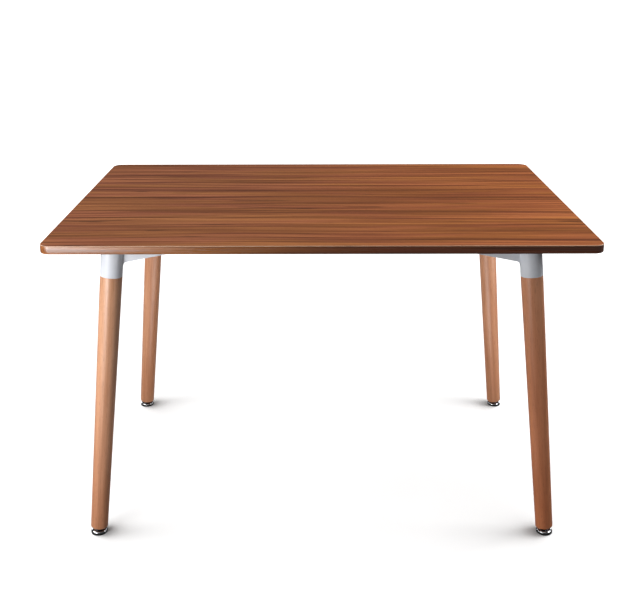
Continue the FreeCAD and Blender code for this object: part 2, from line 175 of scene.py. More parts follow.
class MaterialTree:
    """A node material under construction, with one surface shader."""

    EDGE_STEP: ClassVar[Span] = (0.01, 0.12)
    EDGE_SAMPLES: ClassVar[int] = 6

    def __init__(self, name: str) -> None:
        """Starts a material with an empty surface shader.

        Args:
            name: the material's name.
        """
        self.material = bpy.data.materials.new(name)
        self.material.use_nodes = True
        self.tree = self.material.node_tree
        self.tree.nodes.clear()
        self.surface = self.node("ShaderNodeBsdfPrincipled", {}, {})
        self.node("ShaderNodeOutputMaterial", {}, {"Surface": self.surface.outputs[0]})

    def node(
        self, kind: str, settings: dict[str, Any], inputs: dict[str | int, Given]
    ) -> bpy.types.Node:
        """Adds a node.

        Args:
            kind: the node's type.
            settings: its own properties, set first; "stops" fills a colour ramp.
            inputs: numbers, colours, sockets or values by socket name or number.

        Returns:
            The node.
        """
        made = self.tree.nodes.new(kind)
        for key, setting in settings.items():
            if key == "stops":
                self._set_stops(made, setting)
            else:
                setattr(made, key, setting)
        for key, given in inputs.items():
            self._feed(made.inputs[key], given)
        return made

    def _set_stops(self, ramp: bpy.types.Node, stops: Sequence[tuple[float, Colour]]) -> None:
        """Fills a colour ramp with its stops."""
        elements = ramp.color_ramp.elements
        while len(elements) < len(stops):
            elements.new(1.0)
        for element, (position, colour) in zip(elements, stops):
            element.position = position
            element.color = colour

    def _feed(self, socket: bpy.types.NodeSocket, given: Given) -> None:
        """Links a value to a socket, or sets the socket's own number."""
        if isinstance(given, Value):
            self.tree.links.new(given.socket, socket)
        elif isinstance(given, bpy.types.NodeSocket):
            self.tree.links.new(given, socket)
        else:
            socket.default_value = given

    def math(self, operation: str, first: Value | float, second: Value | float) -> Value:
        """A Math node on two values."""
        made = self.node("ShaderNodeMath", {"operation": operation}, {0: first, 1: second})
        return Value(self, made.outputs[0])

    def mix(self, factor: Value | float, first: Given, second: Given) -> Value:
        """A colour between two others."""
        made = self.node("ShaderNodeMix", {"data_type": "RGBA"}, {0: factor, 6: first, 7: second})
        return Value(self, made.outputs[2])

    def tinted(self, factor: Value | float, colour: Given, tint: Given) -> Value:
        """A colour multiplied by a tint, by the given share."""
        settings = {"data_type": "RGBA", "blend_type": "MULTIPLY"}
        made = self.node("ShaderNodeMix", settings, {0: factor, 6: colour, 7: tint})
        return Value(self, made.outputs[2])

    def ramp(self, factor: Value, stops: Sequence[tuple[float, Colour]]) -> Value:
        """A colour picked along a ramp."""
        made = self.node("ShaderNodeValToRGB", {"stops": stops}, {0: factor})
        return Value(self, made.outputs[0])

    def place(self) -> tuple[Value, Value, Value]:
        """The piece's own coordinates, in metres, as three values."""
        return self.split(self.node("ShaderNodeTexCoord", {}, {}).outputs["Object"])

    def carried(self, attribute: str) -> tuple[Value, Value, Value]:
        """A vector that the mesh carries, as three values."""
        reader = self.node("ShaderNodeAttribute", {"attribute_name": attribute}, {})
        return self.split(reader.outputs["Vector"])

    def split(self, vector: bpy.types.NodeSocket) -> tuple[Value, Value, Value]:
        """A vector's three parts."""
        parts = self.node("ShaderNodeSeparateXYZ", {}, {0: vector}).outputs
        return Value(self, parts[0]), Value(self, parts[1]), Value(self, parts[2])

    def joined(self, x: Value | float, y: Value | float, z: Value | float) -> Value:
        """A vector from three parts."""
        return Value(self, self.node("ShaderNodeCombineXYZ", {}, {0: x, 1: y, 2: z}).outputs[0])

    def noise(
        self, where: Value, scale: float = 1.0, detail: float = 3.0, roughness: float = 0.5
    ) -> Value:
        """Noise from 0 to 1.

        Args:
            where: the point to read it at.
            scale: cells to a unit of that point.
            detail: how many finer layers are added.
            roughness: how strong the finer layers are.

        Returns:
            The noise.
        """
        inputs = {"Vector": where, "Scale": scale, "Detail": detail, "Roughness": roughness}
        return Value(self, self.node("ShaderNodeTexNoise", {}, inputs).outputs[0])

    def edges(self, reach: float) -> Value:
        """1 on the shape's edges and 0 away from them.

        Args:
            reach: how far from an edge the wear goes.

        Returns:
            The mask, from how far a rounded normal turns away from the true one.
        """
        bevel = self.node("ShaderNodeBevel", {"samples": self.EDGE_SAMPLES}, {"Radius": reach})
        true = self.node("ShaderNodeNewGeometry", {}, {}).outputs["Normal"]
        normals = {0: bevel.outputs[0], 1: true}
        likeness = self.node("ShaderNodeVectorMath", {"operation": "DOT_PRODUCT"}, normals)
        return (1 - Value(self, likeness.outputs["Value"])).eased(*self.EDGE_STEP)

    def bump(self, height: Value, strength: float, distance: float) -> Value:
        """A normal raised by a height."""
        inputs = {"Height": height, "Strength": strength, "Distance": distance}
        return Value(self, self.node("ShaderNodeBump", {}, inputs).outputs[0])

    def finish(self, varying: dict[str, Value], fixed: dict[str, Given]) -> bpy.types.Material:
        """Feeds the surface shader and hands the material over.

        Args:
            varying: what changes over the surface, by socket name.
            fixed: what is the same all over, by socket name.

        Returns:
            The material.
        """
        for name, given in {**varying, **fixed}.items():
            self._feed(self.surface.inputs[name], given)
        return self.material


# Finishes

ROSY_TINT: Colour = (1.02, 0.98, 1.06, 1.0)
HONEY_TINT: Colour = (0.99, 1.03, 0.88, 1.0)


@dataclass(frozen=True)
class GrainLayer:
    """One layer of a wood's figure: noise drawn out along the grain, with a smooth step if it has one.

    Along and across count the layer's cells to the metre. The level keeps it apart from the other layers.
    """

    along: float
    across: float
    level: float
    detail: float = 2.0
    roughness: float = 0.5
    step: Span | None = None

    def read(self, tree: MaterialTree, along: Value, across: Value) -> Value:
        """Reads the layer at a point of the wood.

        Args:
            tree: the material that the nodes go in.
            along: the point's distance along the grain.
            across: its distance across the grain.

        Returns:
            The layer there, from 0 to 1.
        """
        where = tree.joined(along * self.along, across * self.across, self.level)
        noise = tree.noise(where, detail=self.detail, roughness=self.roughness)
        return noise.eased(*self.step) if self.step else noise


# The walnut's layers, from the slow sway of its grain to its pores

SWAY = GrainLayer(along=1.3, across=3.0, level=0.7)
SWAY_WIDTH = 35 * MM
BANDS = GrainLayer(along=0.35, across=10.0, level=1.3, step=(0.30, 0.70))
WARMTH = GrainLayer(along=3.0, across=22.0, level=3.7, detail=1.0, step=(0.36, 0.64))
STREAKS = GrainLayer(along=0.9, across=30.0, level=4.1, roughness=0.6, step=(0.34, 0.66))
SEAMS = GrainLayer(along=0.7, across=34.0, level=8.2)
THREADS = GrainLayer(along=0.8, across=40.0, level=5.9)
LENSES = GrainLayer(along=6.0, across=60.0, level=9.4, detail=1.0, step=(0.66, 0.78))
STRANDS = GrainLayer(along=1.5, across=95.0, level=6.3, roughness=0.6, step=(0.34, 0.66))
LINES = GrainLayer(along=2.4, across=230.0, level=7.9, detail=3.0, roughness=0.62)
HAIRS = GrainLayer(along=14.0, across=1300.0, level=2.2, roughness=0.6)
PORES = GrainLayer(along=40.0, across=1500.0, level=5.5, detail=1.0, step=(0.60, 0.70))


@dataclass(frozen=True)
class WalnutFinish:
    """Satin walnut: slow bands, streaks, hair lines, pores and short dark flecks along the grain, with
    light painted across it from left to right and a painted highlight on its top arris.
    """

    name: str
    run: GrainRun
    light: Colour
    middle: Colour
    dark: Colour
    fleck: Colour
    edge_colour: Colour
    # Tints that paint light across the piece from its left end to its right, and where one turns into the
    # other
    left_painted_light: Colour
    right_painted_light: Colour
    painted_light_turn: Span
    roughness: float
    shine: float
    # How strong the pale line on the top arris is, where it starts and where it is full: a painted
    # highlight where the lit arris catches the light
    wear: float
    arris: float = 740 * MM
    highlight_start: float = 0.9 * MM
    highlight_full: float = 0.3 * MM
    end_facing: Span = (0.6, 0.8)
    slant: float = 0.35
    vein_sharpness: float = 16.0
    vein_share: float = 0.5
    thread_sharpness: float = 20.0
    thread_share: float = 0.45
    lens_share: float = 0.60
    pore_share: float = 0.22

    def grain_point(self, tree: MaterialTree, place: tuple[Value, Value, Value]) -> tuple[Value, Value]:
        """The point's place along the grain and across it.

        Args:
            tree: the material that the nodes go in.
            place: the point's own coordinates.

        Returns:
            Distances along and across the grain.
        """
        x, y, z = place
        if self.run is GrainRun.ALONG_TOP:
            return x, y
        facing = tree.split(tree.node("ShaderNodeTexCoord", {}, {}).outputs["Normal"])[0]
        on_end = abs(facing).eased(*self.end_facing)
        along = x * (1 - on_end) + y * on_end
        across = z + (y * (1 - on_end) + x * on_end) * self.slant
        return along, across

    def material(self) -> bpy.types.Material:
        """Builds the walnut."""
        tree = MaterialTree(self.name)
        x, y, z = tree.place()
        along, across = self.grain_point(tree, (x, y, z))
        across = across + (SWAY.read(tree, along, across) - 0.5) * SWAY_WIDTH
        bands = BANDS.read(tree, along, across)
        streaks = STREAKS.read(tree, along, across)
        strands = STRANDS.read(tree, along, across)
        lines = LINES.read(tree, along, across)
        hairs = HAIRS.read(tree, along, across)
        lenses = LENSES.read(tree, along, across)
        pores = PORES.read(tree, along, across)
        tone = bands * 0.12 + streaks * 0.20 + strands * 0.52 + lines * 0.12 + hairs * 0.04
        stops = [(0.14, self.dark), (0.46, self.middle), (0.54, self.middle), (0.86, self.light)]
        colour = tree.ramp(tone, stops)
        seams = abs(SEAMS.read(tree, along, across) - 0.5)
        veins = (1 - seams * self.vein_sharpness).eased(0.0, 1.0)
        colour = tree.mix(veins * bands.eased(0.2, 0.8) * self.vein_share, colour, self.dark)
        threads = abs(THREADS.read(tree, along, across) - 0.5)
        pale_lines = (1 - threads * self.thread_sharpness).eased(0.1, 1.0)
        colour = tree.mix(pale_lines * self.thread_share, colour, self.light)
        colour = tree.mix(lenses * self.lens_share, colour, self.fleck)
        colour = tree.mix(pores * self.pore_share, colour, self.fleck)
        # Painted light from left to right: on the band, a painted reflection on its left end and painted
        # shade on its right end; on the veneer, the light's colour, cooler on the left and warmer on the
        # right
        tint = tree.mix(x.eased(*self.painted_light_turn), self.left_painted_light, self.right_painted_light)
        colour = tree.tinted(1.0, colour, tint)
        warmth = tree.mix(WARMTH.read(tree, along, across), ROSY_TINT, HONEY_TINT)
        colour = tree.tinted(1.0, colour, warmth)
        # Painted highlight: a pale line along the top arris where the lit arris catches the light,
        # following the grain lines
        edge_mark = z.eased(self.arris - self.highlight_start, self.arris - self.highlight_full)
        colour = tree.mix(edge_mark * lines.eased(0.15, 0.50) * self.wear, colour, self.edge_colour)
        rough = self.roughness + (lines - 0.5) * 0.16 + pores * 0.10
        height = lines * 0.4 + hairs * 0.3 - pores * 0.5 - lenses * 0.2
        relief = tree.bump(height, strength=0.10, distance=0.4 * MM)
        varying = {"Base Color": colour, "Roughness": rough, "Normal": relief}
        return tree.finish(varying, {"Specular IOR Level": self.shine})


@dataclass(frozen=True)
class BeechFinish:
    """Satin beech: close straight grain down the turning, with short darker ray flecks, and light and shade
    painted into its colour leg by leg.
    """

    name: str
    light: Colour
    middle: Colour
    dark: Colour
    fleck: Colour
    # The tints that paint light and shade into the legs' colour
    lit_tint: Colour
    shaded_tint: Colour
    roughness: float
    shine: float = 0.75
    ray_share: float = 0.30
    edge_reach: float = 1.0 * MM
    edge_share: float = 0.30

    def material(self) -> bpy.types.Material:
        """Builds the beech."""
        tree = MaterialTree(self.name)
        x, y, z = tree.carried(TurnedLeg.GRAIN)
        depth = tree.carried(TurnedLeg.PAINTED_SHADE)[0]
        drift = tree.noise(tree.joined(x * 5.0, y * 5.0, z * 2.0), detail=2.0)
        years = tree.noise(tree.joined(x * 70.0 + drift * 2.0, y * 26.0, z * 1.6), roughness=0.55)
        lines = tree.noise(tree.joined(x * 420.0, y * 420.0, z * 9.0), roughness=0.6)
        rays = tree.noise(tree.joined(x * 620.0, y * 620.0, z * 60.0), detail=1.0).eased(0.60, 0.70)
        patches = tree.noise(tree.joined(x * 8.0, y * 8.0, z * 4.0), detail=2.0)
        tone = years * 0.52 + lines * 0.26 + patches * 0.22
        colour = tree.ramp(tone, [(0.36, self.dark), (0.50, self.middle), (0.66, self.light)])
        colour = tree.mix(rays * self.ray_share, colour, self.fleck)
        # Painted light: the leg's colour is tinted paler where the leg is lit and deeper where it lies in
        # shade
        colour = tree.tinted(1.0, colour, tree.mix(depth, self.lit_tint, self.shaded_tint))
        colour = tree.mix(tree.edges(self.edge_reach) * self.edge_share, colour, self.light)
        rough = self.roughness + (lines - 0.5) * 0.14 + (patches - 0.5) * 0.10
        height = lines * 0.6 - rays * 0.4
        relief = tree.bump(height, strength=0.08, distance=0.4 * MM)
        varying = {"Base Color": colour, "Roughness": rough, "Normal": relief}
        return tree.finish(varying, {"Specular IOR Level": self.shine})


@dataclass(frozen=True)
class PowderCoatFinish:
    """Powder coat on a casting: a fine orange peel, faint clouding and thinner coat on the edges."""

    name: str
    colour: Colour
    cloud: Colour
    edge_colour: Colour
    roughness: float
    shine: float = 0.45
    cloud_share: float = 0.55
    edge_reach: float = 1.5 * MM
    edge_share: float = 0.35

    def material(self) -> bpy.types.Material:
        """Builds the coat."""
        tree = MaterialTree(self.name)
        where = tree.joined(*tree.place())
        peel = tree.noise(where, scale=900.0, detail=2.0)
        cast = tree.noise(where, scale=160.0)
        clouds = tree.noise(where, scale=18.0)
        colour = tree.mix(clouds.eased(0.35, 0.70) * self.cloud_share, self.colour, self.cloud)
        edge_mark = tree.edges(self.edge_reach) * cast.eased(0.40, 0.62) * self.edge_share
        colour = tree.mix(edge_mark, colour, self.edge_colour)
        rough = self.roughness + (clouds - 0.5) * 0.14 + (peel - 0.5) * 0.08
        relief = tree.bump(peel * 0.6 + cast * 0.4, strength=0.12, distance=0.3 * MM)
        varying = {"Base Color": colour, "Roughness": rough, "Normal": relief}
        return tree.finish(varying, {"Specular IOR Level": self.shine})


@dataclass(frozen=True)
class MetalFinish:
    """Bare or plated metal with fine scratches, smudges and brighter edges."""

    name: str
    colour: Colour
    smudge: Colour
    roughness: float
    scratch: float
    smudge_share: float = 0.5
    edge_reach: float = 0.4 * MM
    edge_share: float = 0.4

    def material(self) -> bpy.types.Material:
        """Builds the metal."""
        tree = MaterialTree(self.name)
        x, y, z = tree.place()
        scratches = tree.noise(tree.joined(x * 300.0, y * 300.0, z * 2600.0), detail=2.0)
        smudges = tree.noise(tree.joined(x, y, z), scale=150.0)
        colour = tree.mix(smudges.eased(0.40, 0.75) * self.smudge_share, self.colour, self.smudge)
        colour = tree.mix(tree.edges(self.edge_reach) * self.edge_share, colour, self.colour)
        rough = self.roughness + (smudges - 0.5) * self.roughness + (scratches - 0.5) * self.scratch
        relief = tree.bump(scratches, strength=0.05, distance=0.2 * MM)
        varying = {"Base Color": colour, "Roughness": rough, "Normal": relief}
        return tree.finish(varying, {"Metallic": 1.0})


@dataclass(frozen=True)
class DullFinish:
    """A dull board, sheet or moulding: a speckle, slow patches and a fine tooth."""

    name: str
    colour: Colour
    patch: Colour
    speck: Colour
    roughness: float
    speck_scale: float
    shine: float = 0.30
    patch_share: float = 0.6
    speck_share: float = 0.5
    edge_reach: float = 0.8 * MM
    edge_share: float = 0.3

    def material(self) -> bpy.types.Material:
        """Builds the surface."""
        tree = MaterialTree(self.name)
        x, y, z = tree.place()
        specks = tree.noise(tree.joined(x, y, z), scale=self.speck_scale, roughness=0.6)
        patches = tree.noise(tree.joined(x * 0.5, y, z), scale=11.0)
        colour = tree.mix(patches.eased(0.30, 0.70) * self.patch_share, self.colour, self.patch)
        colour = tree.mix(specks.eased(0.52, 0.70) * self.speck_share, colour, self.speck)
        colour = tree.mix(tree.edges(self.edge_reach) * self.edge_share, colour, self.speck)
        rough = self.roughness + (patches - 0.5) * 0.12 + (specks - 0.5) * 0.10
        relief = tree.bump(specks, strength=0.10, distance=0.3 * MM)
        varying = {"Base Color": colour, "Roughness": rough, "Normal": relief}
        return tree.finish(varying, {"Specular IOR Level": self.shine})


class Finishes:
    """Every finish on the table, built once."""

    def __init__(self) -> None:
        """Builds the materials."""
        self.veneer = WalnutFinish(
            "walnut_veneer", GrainRun.ALONG_TOP, light=srgb(178, 112, 70), middle=srgb(138, 81, 49),
            dark=srgb(94, 50, 29), fleck=srgb(60, 32, 20), edge_colour=srgb(190, 132, 92),
            # Painted light: cooler on the left and warmer on the right, as the light falls across the top
            left_painted_light=(0.97, 0.99, 1.10, 1.0), right_painted_light=(1.10, 1.0, 0.80, 1.0),
            painted_light_turn=(-0.45, 0.55), roughness=0.50, shine=0.16, wear=0.0,
        ).material()
        self.band = WalnutFinish(
            "walnut_band", GrainRun.ROUND_EDGE, light=srgb(108, 66, 43), middle=srgb(88, 51, 33),
            # The colour on the top arris is that of a painted highlight
            dark=srgb(64, 36, 24), fleck=srgb(46, 26, 18), edge_colour=srgb(226, 184, 152),
            # Painted reflection on the band's left end and painted shade on its right end
            left_painted_light=(2.20, 2.15, 1.05, 1.0), right_painted_light=(0.92, 0.68, 0.42, 1.0),
            painted_light_turn=(-0.42, 0.10), roughness=0.28, shine=0.9, wear=0.85,
        ).material()
        self.beech = BeechFinish(
            "beech", light=srgb(224, 172, 132), middle=srgb(208, 150, 110), dark=srgb(186, 126, 86),
            # The two tints paint light and shade into the legs' colour
            fleck=srgb(150, 96, 64), lit_tint=(1.0, 1.12, 1.30, 1.0), shaded_tint=(0.88, 0.58, 0.44, 1.0),
            roughness=0.36,
        ).material()
        self.coat = PowderCoatFinish(
            "bracket_coat", colour=srgb(222, 225, 231), cloud=srgb(208, 212, 220),
            edge_colour=srgb(150, 152, 156), roughness=0.40,
        ).material()
        self.steel = MetalFinish(
            "fastener_steel", colour=srgb(186, 186, 188), smudge=srgb(140, 140, 144),
            roughness=0.30, scratch=0.16,
        ).material()
        self.dark_steel = MetalFinish(
            "stem_steel", colour=srgb(96, 96, 100), smudge=srgb(60, 60, 62), roughness=0.32, scratch=0.16
        ).material()
        self.chrome = MetalFinish(
            "foot_chrome", colour=srgb(196, 197, 200), smudge=srgb(150, 151, 156),
            roughness=0.07, scratch=0.04,
        ).material()
        self.rubber = DullFinish(
            "foot_rubber", colour=srgb(24, 24, 25), patch=srgb(32, 32, 33), speck=srgb(46, 46, 47),
            roughness=0.62, speck_scale=1400.0,
        ).material()
        self.board = DullFinish(
            "core_board", colour=srgb(176, 146, 110), patch=srgb(160, 130, 96), speck=srgb(124, 98, 72),
            roughness=0.80, speck_scale=700.0,
        ).material()
        self.backing = DullFinish(
            "backing_sheet", colour=srgb(122, 84, 60), patch=srgb(110, 74, 52), speck=srgb(92, 60, 42),
            roughness=0.62, speck_scale=260.0,
        ).material()


# Modelling

# Points within a gap merge; edges flatter than the first turn go, those sharper than the second are rounded
RING_GAP = 0.01 * MM
TRIANGLE_GAP = 0.005 * MM
FLAT_TURN = math.radians(1.0)
ROUNDED_TURN = math.radians(32)


def deselect() -> None:
    """Clears the selection, so that the next operator acts on its own piece alone."""
    bpy.ops.object.select_all(action="DESELECT")


def pick(piece: bpy.types.Object) -> None:
    """Makes a piece the only one selected, and the active one."""
    deselect()
    piece.select_set(True)
    bpy.context.view_layer.objects.active = piece


@contextmanager
def editing(piece: bpy.types.Object) -> Iterator[None]:
    """Edit mode on one piece, with all of it selected at the start."""
    pick(piece)
    bpy.context.tool_settings.mesh_select_mode = (True, False, False)
    bpy.ops.object.mode_set(mode="EDIT")
    bpy.ops.mesh.select_all(action="SELECT")
    yield
    bpy.ops.object.mode_set(mode="OBJECT")


@contextmanager
def editing_as_chosen(piece: bpy.types.Object) -> Iterator[None]:
    """Edit mode on one piece, with what was chosen on its mesh still selected."""
    pick(piece)
    bpy.ops.object.mode_set(mode="EDIT")
    yield
    bpy.ops.object.mode_set(mode="OBJECT")


def settle(piece: bpy.types.Object, matrix: Matrix) -> None:
    """Moves a piece to its place and puts that place in its mesh.

    Args:
        piece: the piece, at the origin or where it was added.
        matrix: where it goes.
    """
    pick(piece)
    bpy.ops.object.transform_apply(location=True, rotation=True, scale=True)
    piece.matrix_world = matrix
    bpy.ops.object.transform_apply(location=True, rotation=True, scale=True)


def smooth(piece: bpy.types.Object, crease: Crease) -> None:
    """Shades a piece smooth, with edges sharper than its crease left crisp."""
    pick(piece)
    bpy.ops.object.shade_smooth_by_angle(angle=math.radians(crease.value))


def turned(name: str, profile: Profile, closed_ring: bool = False, sides: int = 96) -> bpy.types.Object:
    """A turning: a circle drawn through a profile, ring by ring.

    Args:
        name: the piece's name.
        profile: radius and height of each ring.
        closed_ring: whether the last ring meets the first, as on a ring; otherwise both ends are capped.
        sides: facets round the turning.

    Returns:
        The piece, about its own Z axis.
    """
    deselect()
    radius, height = profile[0]
    fill = "NOTHING" if closed_ring else "NGON"
    bpy.ops.mesh.primitive_circle_add(
        vertices=sides, radius=radius, fill_type=fill, location=(0, 0, height)
    )
    piece = bpy.context.object
    piece.name = name
    with editing(piece):
        for ring, following in zip(profile, profile[1:]):
            rise = following[1] - ring[1]
            ratio = following[0] / ring[0]
            bpy.ops.mesh.extrude_region_move(TRANSFORM_OT_translate={"value": (0, 0, rise)})
            bpy.ops.transform.resize(value=(ratio, ratio, 1), center_override=(0, 0, following[1]))
        bpy.ops.mesh.select_all(action="SELECT")
        bpy.ops.mesh.remove_doubles(threshold=RING_GAP)
        bpy.ops.mesh.normals_make_consistent(inside=False)
    return piece


def rounded_step(start: tuple[float, float], end: tuple[float, float], steps: int) -> Profile:
    """Points of a quarter round between two rings, level at the start and upright at the end.

    Args:
        start: radius and height where the round leaves the flat.
        end: radius and height where the round meets the side.
        steps: points in all, past the start.

    Returns:
        The points after the start.
    """
    points = []
    for i in range(1, steps + 1):
        turn = math.pi / 2 * i / steps
        radius = start[0] + (end[0] - start[0]) * math.sin(turn)
        height = start[1] + (end[1] - start[1]) * (1 - math.cos(turn))
        points.append((radius, height))
    return points


def softened_copy(node: str, name: str, width: float, segments: int) -> bpy.types.Object:
    """A copy of a solid with its loose triangles merged and its edges rounded.

    Args:
        node: the solid's node.
        name: the piece's name.
        width: how wide the rounding is.
        segments: facets across the rounding.

    Returns:
        The piece, in the solid's place.
    """
    piece = bpy.data.objects.new(name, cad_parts[node].data.copy())
    bpy.context.scene.collection.objects.link(piece)
    piece.data.materials.clear()
    with editing(piece):
        bpy.ops.mesh.customdata_custom_splitnormals_clear()
        bpy.ops.mesh.remove_doubles(threshold=TRIANGLE_GAP)
        bpy.ops.mesh.dissolve_limited(angle_limit=FLAT_TURN)
    rounding = piece.modifiers.new("rounding", "BEVEL")
    rounding.width = width
    rounding.segments = segments
    rounding.limit_method = "ANGLE"
    rounding.angle_limit = ROUNDED_TURN
    # Clamped, the whole rounding would be no wider than the shortest edge lets it be
    rounding.use_clamp_overlap = False
    bpy.ops.object.modifier_apply(modifier=rounding.name)
    smooth(piece, Crease.SOFTENED_COPY)
    return piece


def dress(piece: bpy.types.Object, material: bpy.types.Material) -> None:
    """Gives a piece one material all over."""
    piece.data.materials.clear()
    piece.data.materials.append(material)


def seat(piece: bpy.types.Object, node: str, body: str) -> None:
    """Lets a piece stand for a solid and ride on its body.

    Args:
        piece: the finished piece.
        node: the solid that it stands for.
        body: the body that it moves with.
    """
    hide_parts(node)
    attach(piece, body)
    LOG.info("%s stands for %s on %s, %d faces", piece.name, node, body, len(piece.data.polygons))


# Sub-assemblies


@dataclass
class LegAxis:
    """The line that a leg, its socket, its bolt and its foot share."""

    corner: Corner
    half_length: float = 600 * MM
    half_width: float = 400 * MM
    inset_long: float = 137 * MM
    inset_cross: float = 109 * MM
    splay_long: float = 71.5 * MM
    splay_cross: float = 39.8 * MM
    underside: float = 722 * MM

    def at_height(self, height: float) -> Vector:
        """The axis's point at a height above the floor."""
        side_x, side_y = self.corner.side
        share = 1 - height / self.underside
        x = side_x * (self.half_length - self.inset_long + self.splay_long * share)
        y = side_y * (self.half_width - self.inset_cross + self.splay_cross * share)
        return Vector((x, y, height))

    def placed(self, height: float) -> Matrix:
        """The matrix that stands a turning on the axis, its foot at that height."""
        upward = (self.at_height(self.underside) - self.at_height(0)).normalized()
        lean = Vector((0, 0, 1)).rotation_difference(upward)
        return Matrix.Translation(self.at_height(height)) @ lean.to_matrix().to_4x4()

    def length_between(self, low: float, high: float) -> float:
        """Length along the axis between two heights."""
        return (self.at_height(high) - self.at_height(low)).length


@dataclass
class TableTop:
    """The top: a veneered board with a walnut band round its edge."""

    length: float = 1200 * MM
    width: float = 800 * MM
    thickness: float = 18 * MM
    underside: float = 722 * MM
    corner_radius: float = 25 * MM
    corner_steps: int = 14
    band: float = 1.5 * MM
    ease: float = 1.0 * MM
    ease_steps: int = 3
    level_normal: float = 0.9

    def build(self, finishes: Finishes) -> None:
        """Models the band, and dresses the layers that the frame already holds."""
        band = self.build_band()
        dress(band, finishes.band)
        seat(band, "edge_band", "table")
        layers = {
            "top_veneer": finishes.veneer,
            "top_core": finishes.board,
            "top_backing": finishes.backing,
        }
        for node, material in layers.items():
            dress(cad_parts[node], material)

    def build_band(self) -> bpy.types.Object:
        """The band: a board with rounded corners, hollowed to a ring, its outer arrises eased.

        Returns:
            The band.
        """
        deselect()
        middle = self.underside + self.thickness / 2
        bpy.ops.mesh.primitive_cube_add(size=1.0, location=(0, 0, middle))
        piece = bpy.context.object
        piece.name = "edge_band_walnut"
        piece.scale = (self.length, self.width, self.thickness)
        settle(piece, Matrix.Identity(4))
        self.choose_edges(piece, self.is_upright)
        with editing_as_chosen(piece):
            bpy.ops.mesh.bevel(offset=self.corner_radius, segments=self.corner_steps, affect="EDGES")
        self.choose_level_faces(piece)
        with editing_as_chosen(piece):
            bpy.ops.mesh.inset(thickness=self.band, depth=0.0)
            bpy.ops.mesh.delete(type="ONLY_FACE")
        self.choose_edges(piece, self.is_open)
        with editing_as_chosen(piece):
            bpy.ops.mesh.bridge_edge_loops()
            bpy.ops.mesh.select_all(action="SELECT")
            bpy.ops.mesh.normals_make_consistent(inside=False)
        self.choose_edges(piece, self.is_outer_arris)
        with editing_as_chosen(piece):
            bpy.ops.mesh.bevel(offset=self.ease, segments=self.ease_steps, affect="EDGES")
        smooth(piece, Crease.BAND)
        return piece

    def is_upright(self, start: Vector, end: Vector, faces: int) -> bool:
        """Whether an edge stands upright."""
        return abs(end.z - start.z) > self.thickness / 2

    def is_open(self, start: Vector, end: Vector, faces: int) -> bool:
        """Whether an edge has a face on one side only."""
        return faces == 1

    def is_outer_arris(self, start: Vector, end: Vector, faces: int) -> bool:
        """Whether an edge is level and on the outside of the band."""
        level = abs(end.z - start.z) < RING_GAP
        return level and self.is_outside(start) and self.is_outside(end)

    def is_outside(self, point: Vector) -> bool:
        """Whether a point lies on the top's outline."""
        flat_x = max(abs(point.x) - (self.length / 2 - self.corner_radius), 0.0)
        flat_y = max(abs(point.y) - (self.width / 2 - self.corner_radius), 0.0)
        return math.hypot(flat_x, flat_y) > self.corner_radius - self.band / 3

    def choose_edges(self, piece: bpy.types.Object, wanted: EdgeTest) -> None:
        """Selects the edges that a test wants, and no others."""
        bpy.context.tool_settings.mesh_select_mode = (False, True, False)
        mesh = piece.data
        mesh.polygons.foreach_set("select", [False] * len(mesh.polygons))
        mesh.vertices.foreach_set("select", [False] * len(mesh.vertices))
        sides: dict[tuple[int, int], int] = {}
        for face in mesh.polygons:
            for key in face.edge_keys:
                sides[key] = sides.get(key, 0) + 1
        for edge in mesh.edges:
            start, end = (mesh.vertices[i].co for i in edge.vertices)
            edge.select = wanted(start, end, sides.get(edge.key, 0))

    def choose_level_faces(self, piece: bpy.types.Object) -> None:
        """Selects the level faces, above and below, and no others."""
        bpy.context.tool_settings.mesh_select_mode = (False, False, True)
        mesh = piece.data
        mesh.vertices.foreach_set("select", [False] * len(mesh.vertices))
        mesh.edges.foreach_set("select", [False] * len(mesh.edges))
        for face in mesh.polygons:
            face.select = abs(face.normal.z) > self.level_normal


